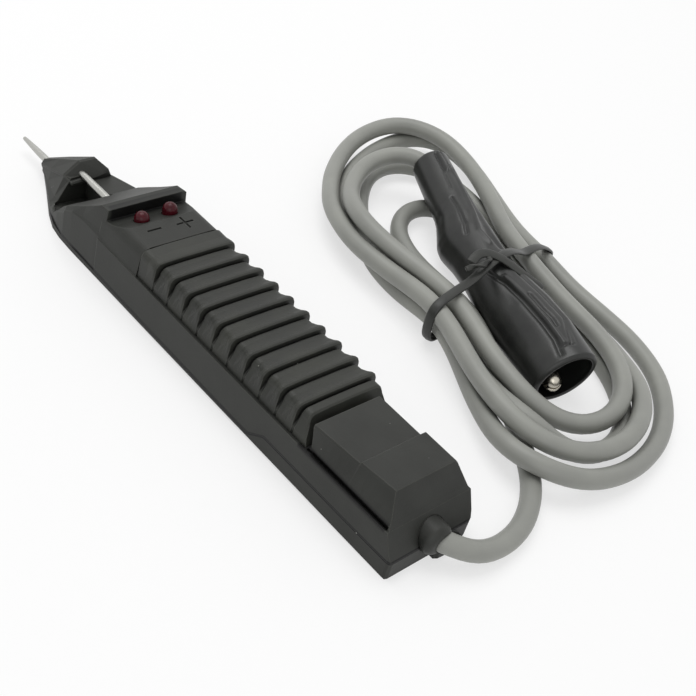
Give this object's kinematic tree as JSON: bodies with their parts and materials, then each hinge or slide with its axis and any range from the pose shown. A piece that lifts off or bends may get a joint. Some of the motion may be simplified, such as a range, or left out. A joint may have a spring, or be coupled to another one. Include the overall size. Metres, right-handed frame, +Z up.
{
  "type": "voltage tester",
  "caption": "Two-lamp hand voltage tester: moulded body with a steel needle in a hooked nose, ribbed grip, and a hanked lead that ends in an insulated spring clip.",
  "frame": {"origin": "bottom centre of the tester itself, on the table, without the lead and what is on it", "axes": "+X along the tester towards the end where the lead leaves, the needle points to -X; +Z up out of the table, the lamps are on top; +Y to the side where the lead lies"},
  "size_m": [0.1415, 0.1103, 0.0168],
  "materials": {
    "housing_plastic": "dark grey injection moulded plastic with a fine spark texture",
    "cover_plastic": "dark grey injection moulded plastic, slightly smoother",
    "grip_plastic": "dark grey moulded grip with ribs",
    "needle_steel": "drawn steel wire, ground to a blunt point",
    "contact_brass": "stamped brass",
    "board_laminate": "green glass fibre laminate",
    "lamp_epoxy": "dark red tinted cast epoxy",
    "lead_wire_tin": "tinned wire",
    "resistor_body": "beige lacquered resistor body",
    "diode_body": "black moulded epoxy",
    "copper": "bare stranded copper",
    "gland_pvc": "dark grey moulded soft PVC",
    "lead_jacket": "grey extruded PVC jacket with a satin face",
    "tie_plastic": "black plastic ribbon round a wire",
    "boot_pvc": "black dip moulded soft PVC with a satin shine",
    "jaw_steel": "stamped steel, nickel plated",
    "spring_steel": "drawn spring steel wire"
  },
  "bodies": {
    "tester": {"housing": "housing_plastic", "cover": "cover_plastic", "grip": "grip_plastic", "probe_needle": "needle_steel", "needle_clip": "contact_brass", "circuit_board": "board_laminate", "lamp_minus": "lamp_epoxy", "lamp_plus": "lamp_epoxy", "lamp_minus_legs": "lead_wire_tin", "lamp_plus_legs": "lead_wire_tin", "resistor_minus": "resistor_body", "resistor_plus": "resistor_body", "diode": "diode_body", "lead_core": "copper", "cable_gland": "gland_pvc", "lead_run": "lead_jacket", "lead_hank": "lead_jacket", "lead_end": "lead_jacket", "twist_tie": "tie_plastic", "clip_boot": "boot_pvc", "jaw_lower": "jaw_steel", "clip_rivet": "jaw_steel", "clip_spring": "spring_steel", "clip_core": "copper"},
    "jaw": {"jaw_upper": "jaw_steel"}
  },
  "joints": [
    {"name": "jaw_hinge", "type": "hinge", "parent": "tester", "child": "jaw", "pos_m": [0.02389, 0.06035, 0.00744], "axis": [-0.3524, -0.8835, -0.3087], "range_deg": [0, 16], "stiffness_Nm_per_rad": 0.02, "springref_deg": -5.73, "deforming": ["clip_boot", "clip_spring"]}
  ]
}
